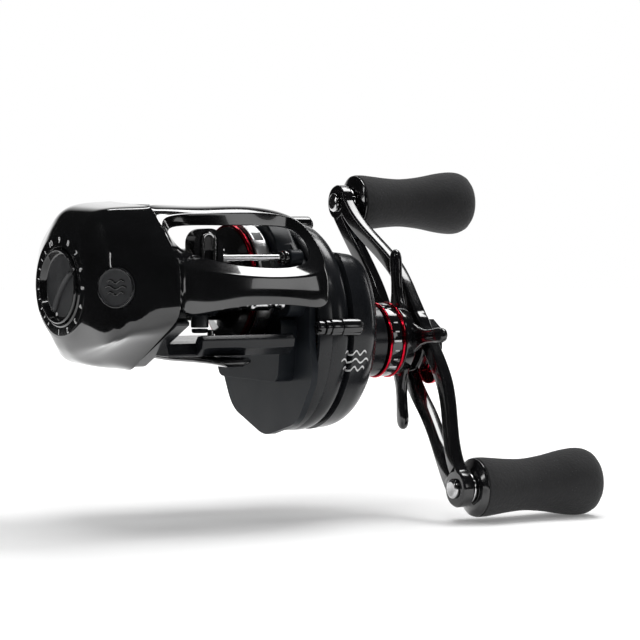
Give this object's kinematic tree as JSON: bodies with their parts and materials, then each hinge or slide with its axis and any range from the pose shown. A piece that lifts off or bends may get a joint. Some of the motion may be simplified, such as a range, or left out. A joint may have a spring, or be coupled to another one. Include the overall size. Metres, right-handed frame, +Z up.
{
  "type": "baitcasting fishing reel",
  "caption": "Low-profile baitcasting reel with a double-knob power handle, star drag, level-wind line guide, magnetic brake dial and thumb bar clutch.",
  "frame": {"origin": "middle of the flat land under the reel foot, below the spool axis", "axes": "+X along the spool axis towards the handle, -Y towards the line exit at the front, +Z up from the foot to the spool"},
  "size_m": [0.1399, 0.0847, 0.094],
  "materials": {
    "gloss_black": "gloss black lacquer",
    "gloss_metal": "gloss black anodised aluminium",
    "satin_black": "satin black paint",
    "red_anodised": "red anodised, polished",
    "steel": "polished stainless steel",
    "brass": "machined brass",
    "aluminium": "machined aluminium",
    "black_plastic": "moulded nylon",
    "carbon_fibre": "woven carbon fibre washer",
    "eva_foam": "matt closed-cell foam",
    "magnet": "nickel plated magnet"
  },
  "bodies": {
    "reel_body": {"palm_side_plate": "gloss_black", "side_badge": "satin_black", "palm_bearing": "steel", "frame": "satin_black", "reel_foot": "gloss_black", "foot_screw_front": "steel", "foot_screw_rear": "steel", "front_cowl": "gloss_black", "gear_side_ring": "satin_black", "gear_side_cover": "satin_black", "case_screw": "steel", "line_ring": "steel", "guide_rod": "steel", "guide_rod_nut": "satin_black", "spool_bearing": "steel", "shaft_bearing": "steel", "anti_reverse_bearing": "steel", "yoke_spring_front": "steel", "yoke_spring_rear": "steel"},
    "crank": {"drive_shaft": "steel", "levelwind_drive_gear": "black_plastic", "ratchet_wheel": "steel", "drive_gear": "brass", "drag_washer": "carbon_fibre", "pressure_plate": "steel", "clutch_sleeve": "steel", "drag_collar": "gloss_metal", "collar_ring_inner": "red_anodised", "collar_ring_outer": "red_anodised", "handle_arm": "gloss_metal", "retainer_plate": "red_anodised", "handle_nut": "gloss_metal", "nut_lock_screw": "steel", "knob_pin_upper": "steel", "knob_pin_lower": "steel"},
    "star": {"star_drag": "gloss_metal"},
    "upper_knob": {"knob_cap_upper": "gloss_black", "knob_grip_upper": "eva_foam", "knob_bushing_upper": "brass"},
    "lower_knob": {"knob_cap_lower": "gloss_black", "knob_grip_lower": "eva_foam", "knob_bushing_lower": "brass"},
    "spool_rotor": {"spool": "gloss_metal", "spool_trim_ring": "red_anodised", "spool_shaft": "steel", "brake_rotor": "aluminium"},
    "yoke": {"clutch_yoke": "black_plastic"},
    "pinion": {"pinion_gear": "brass"},
    "worm": {"worm_shaft": "steel", "levelwind_gear": "black_plastic"},
    "guide": {"line_guide": "satin_black", "guide_insert": "steel", "pawl": "steel", "pawl_cap": "satin_black"},
    "thumb": {"thumb_bar": "gloss_black", "clutch_cam": "black_plastic"},
    "dial": {"brake_dial": "gloss_black"},
    "magnets": {"magnet_carrier": "black_plastic", "brake_magnet": "magnet"},
    "tension": {"cast_control_cap": "satin_black"}
  },
  "joints": [
    {"name": "handle_spin", "type": "hinge", "parent": "reel_body", "child": "crank", "pos_m": [0, -0.0073, 0.0049], "axis": [1, 0, 0], "continuous": true},
    {"name": "star_turn", "type": "hinge", "parent": "crank", "child": "star", "pos_m": [0, -0.0073, 0.0049], "axis": [1, 0, 0], "range_deg": [-180, 180]},
    {"name": "upper_knob_spin", "type": "hinge", "parent": "crank", "child": "upper_knob", "pos_m": [0.08, 0.02524, 0.04286], "axis": [1, 0, 0], "continuous": true},
    {"name": "lower_knob_spin", "type": "hinge", "parent": "crank", "child": "lower_knob", "pos_m": [0.08, -0.03984, -0.03306], "axis": [1, 0, 0], "continuous": true},
    {"name": "spool_spin", "type": "hinge", "parent": "reel_body", "child": "spool_rotor", "pos_m": [0, 0, 0.0205], "axis": [1, 0, 0], "continuous": true},
    {"name": "thumb_press", "type": "slide", "parent": "reel_body", "child": "thumb", "axis": [0, 0, -1], "range_m": [0, 0.005]},
    {"name": "yoke_slide", "type": "slide", "parent": "reel_body", "child": "yoke", "axis": [1, 0, 0], "range_m": [0, 0.0014], "deforming": ["yoke_spring_front", "yoke_spring_rear"]},
    {"name": "pinion_spin", "type": "hinge", "parent": "yoke", "child": "pinion", "pos_m": [0.032, 0, 0.0205], "axis": [1, 0, 0], "continuous": true},
    {"name": "worm_spin", "type": "hinge", "parent": "reel_body", "child": "worm", "pos_m": [0, -0.02, 0.0165], "axis": [1, 0, 0], "continuous": true},
    {"name": "guide_slide", "type": "slide", "parent": "reel_body", "child": "guide", "axis": [1, 0, 0], "range_m": [-0.0033, 0.0157]},
    {"name": "brake_turn", "type": "hinge", "parent": "reel_body", "child": "dial", "pos_m": [-0.0364, 0, 0.0205], "axis": [0.9936, 0.1132, 0], "range_deg": [-150, 150]},
    {"name": "magnet_turn", "type": "hinge", "parent": "reel_body", "child": "magnets", "pos_m": [-0.019, 0, 0.0205], "axis": [1, 0, 0], "range_deg": [-150, 150]},
    {"name": "tension_turn", "type": "hinge", "parent": "reel_body", "child": "tension", "pos_m": [0.044, 0, 0.0205], "axis": [1, 0, 0], "range_deg": [-170, 170]}
  ],
  "couplings": [
    {"joint": "spool_spin", "follows": "handle_spin", "ratio": -5.4444},
    {"joint": "pinion_spin", "follows": "handle_spin", "ratio": -5.4444},
    {"joint": "worm_spin", "follows": "handle_spin", "ratio": -2.8},
    {"joint": "yoke_slide", "follows": "thumb_press", "ratio": 0.26},
    {"joint": "magnet_turn", "follows": "brake_turn", "ratio": 1}
  ]
}
